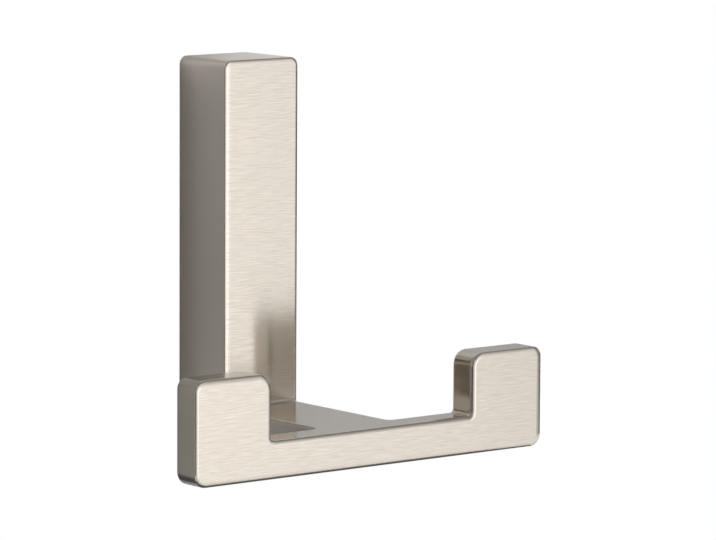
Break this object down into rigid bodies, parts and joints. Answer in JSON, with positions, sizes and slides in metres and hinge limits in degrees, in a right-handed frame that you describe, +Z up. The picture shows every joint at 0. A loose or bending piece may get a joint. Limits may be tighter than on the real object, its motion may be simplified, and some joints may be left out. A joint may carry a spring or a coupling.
{
  "type": "double robe hook",
  "caption": "Wall-mounted robe hook with a square post, a level arm and a U-shaped cross bar whose raised ends are the hooks, held by a concealed bracket and a set screw.",
  "frame": {"origin": "in the wall plane, midway between the concealed bracket's two screw holes", "axes": "+X along the cross bar, +Y into the wall, +Z up"},
  "size_m": [0.0848, 0.0508, 0.0762],
  "materials": {
    "satin_nickel": "satin nickel plating on a zinc casting: front faces brushed along X, the other faces smooth",
    "zinc_plated_steel": "bright zinc-plated sheet steel",
    "screw_steel": "plain stainless steel"
  },
  "bodies": {
    "root": {"hook_body": "satin_nickel", "wall_bracket": "zinc_plated_steel", "set_screw": "screw_steel"}
  },
  "joints": []
}
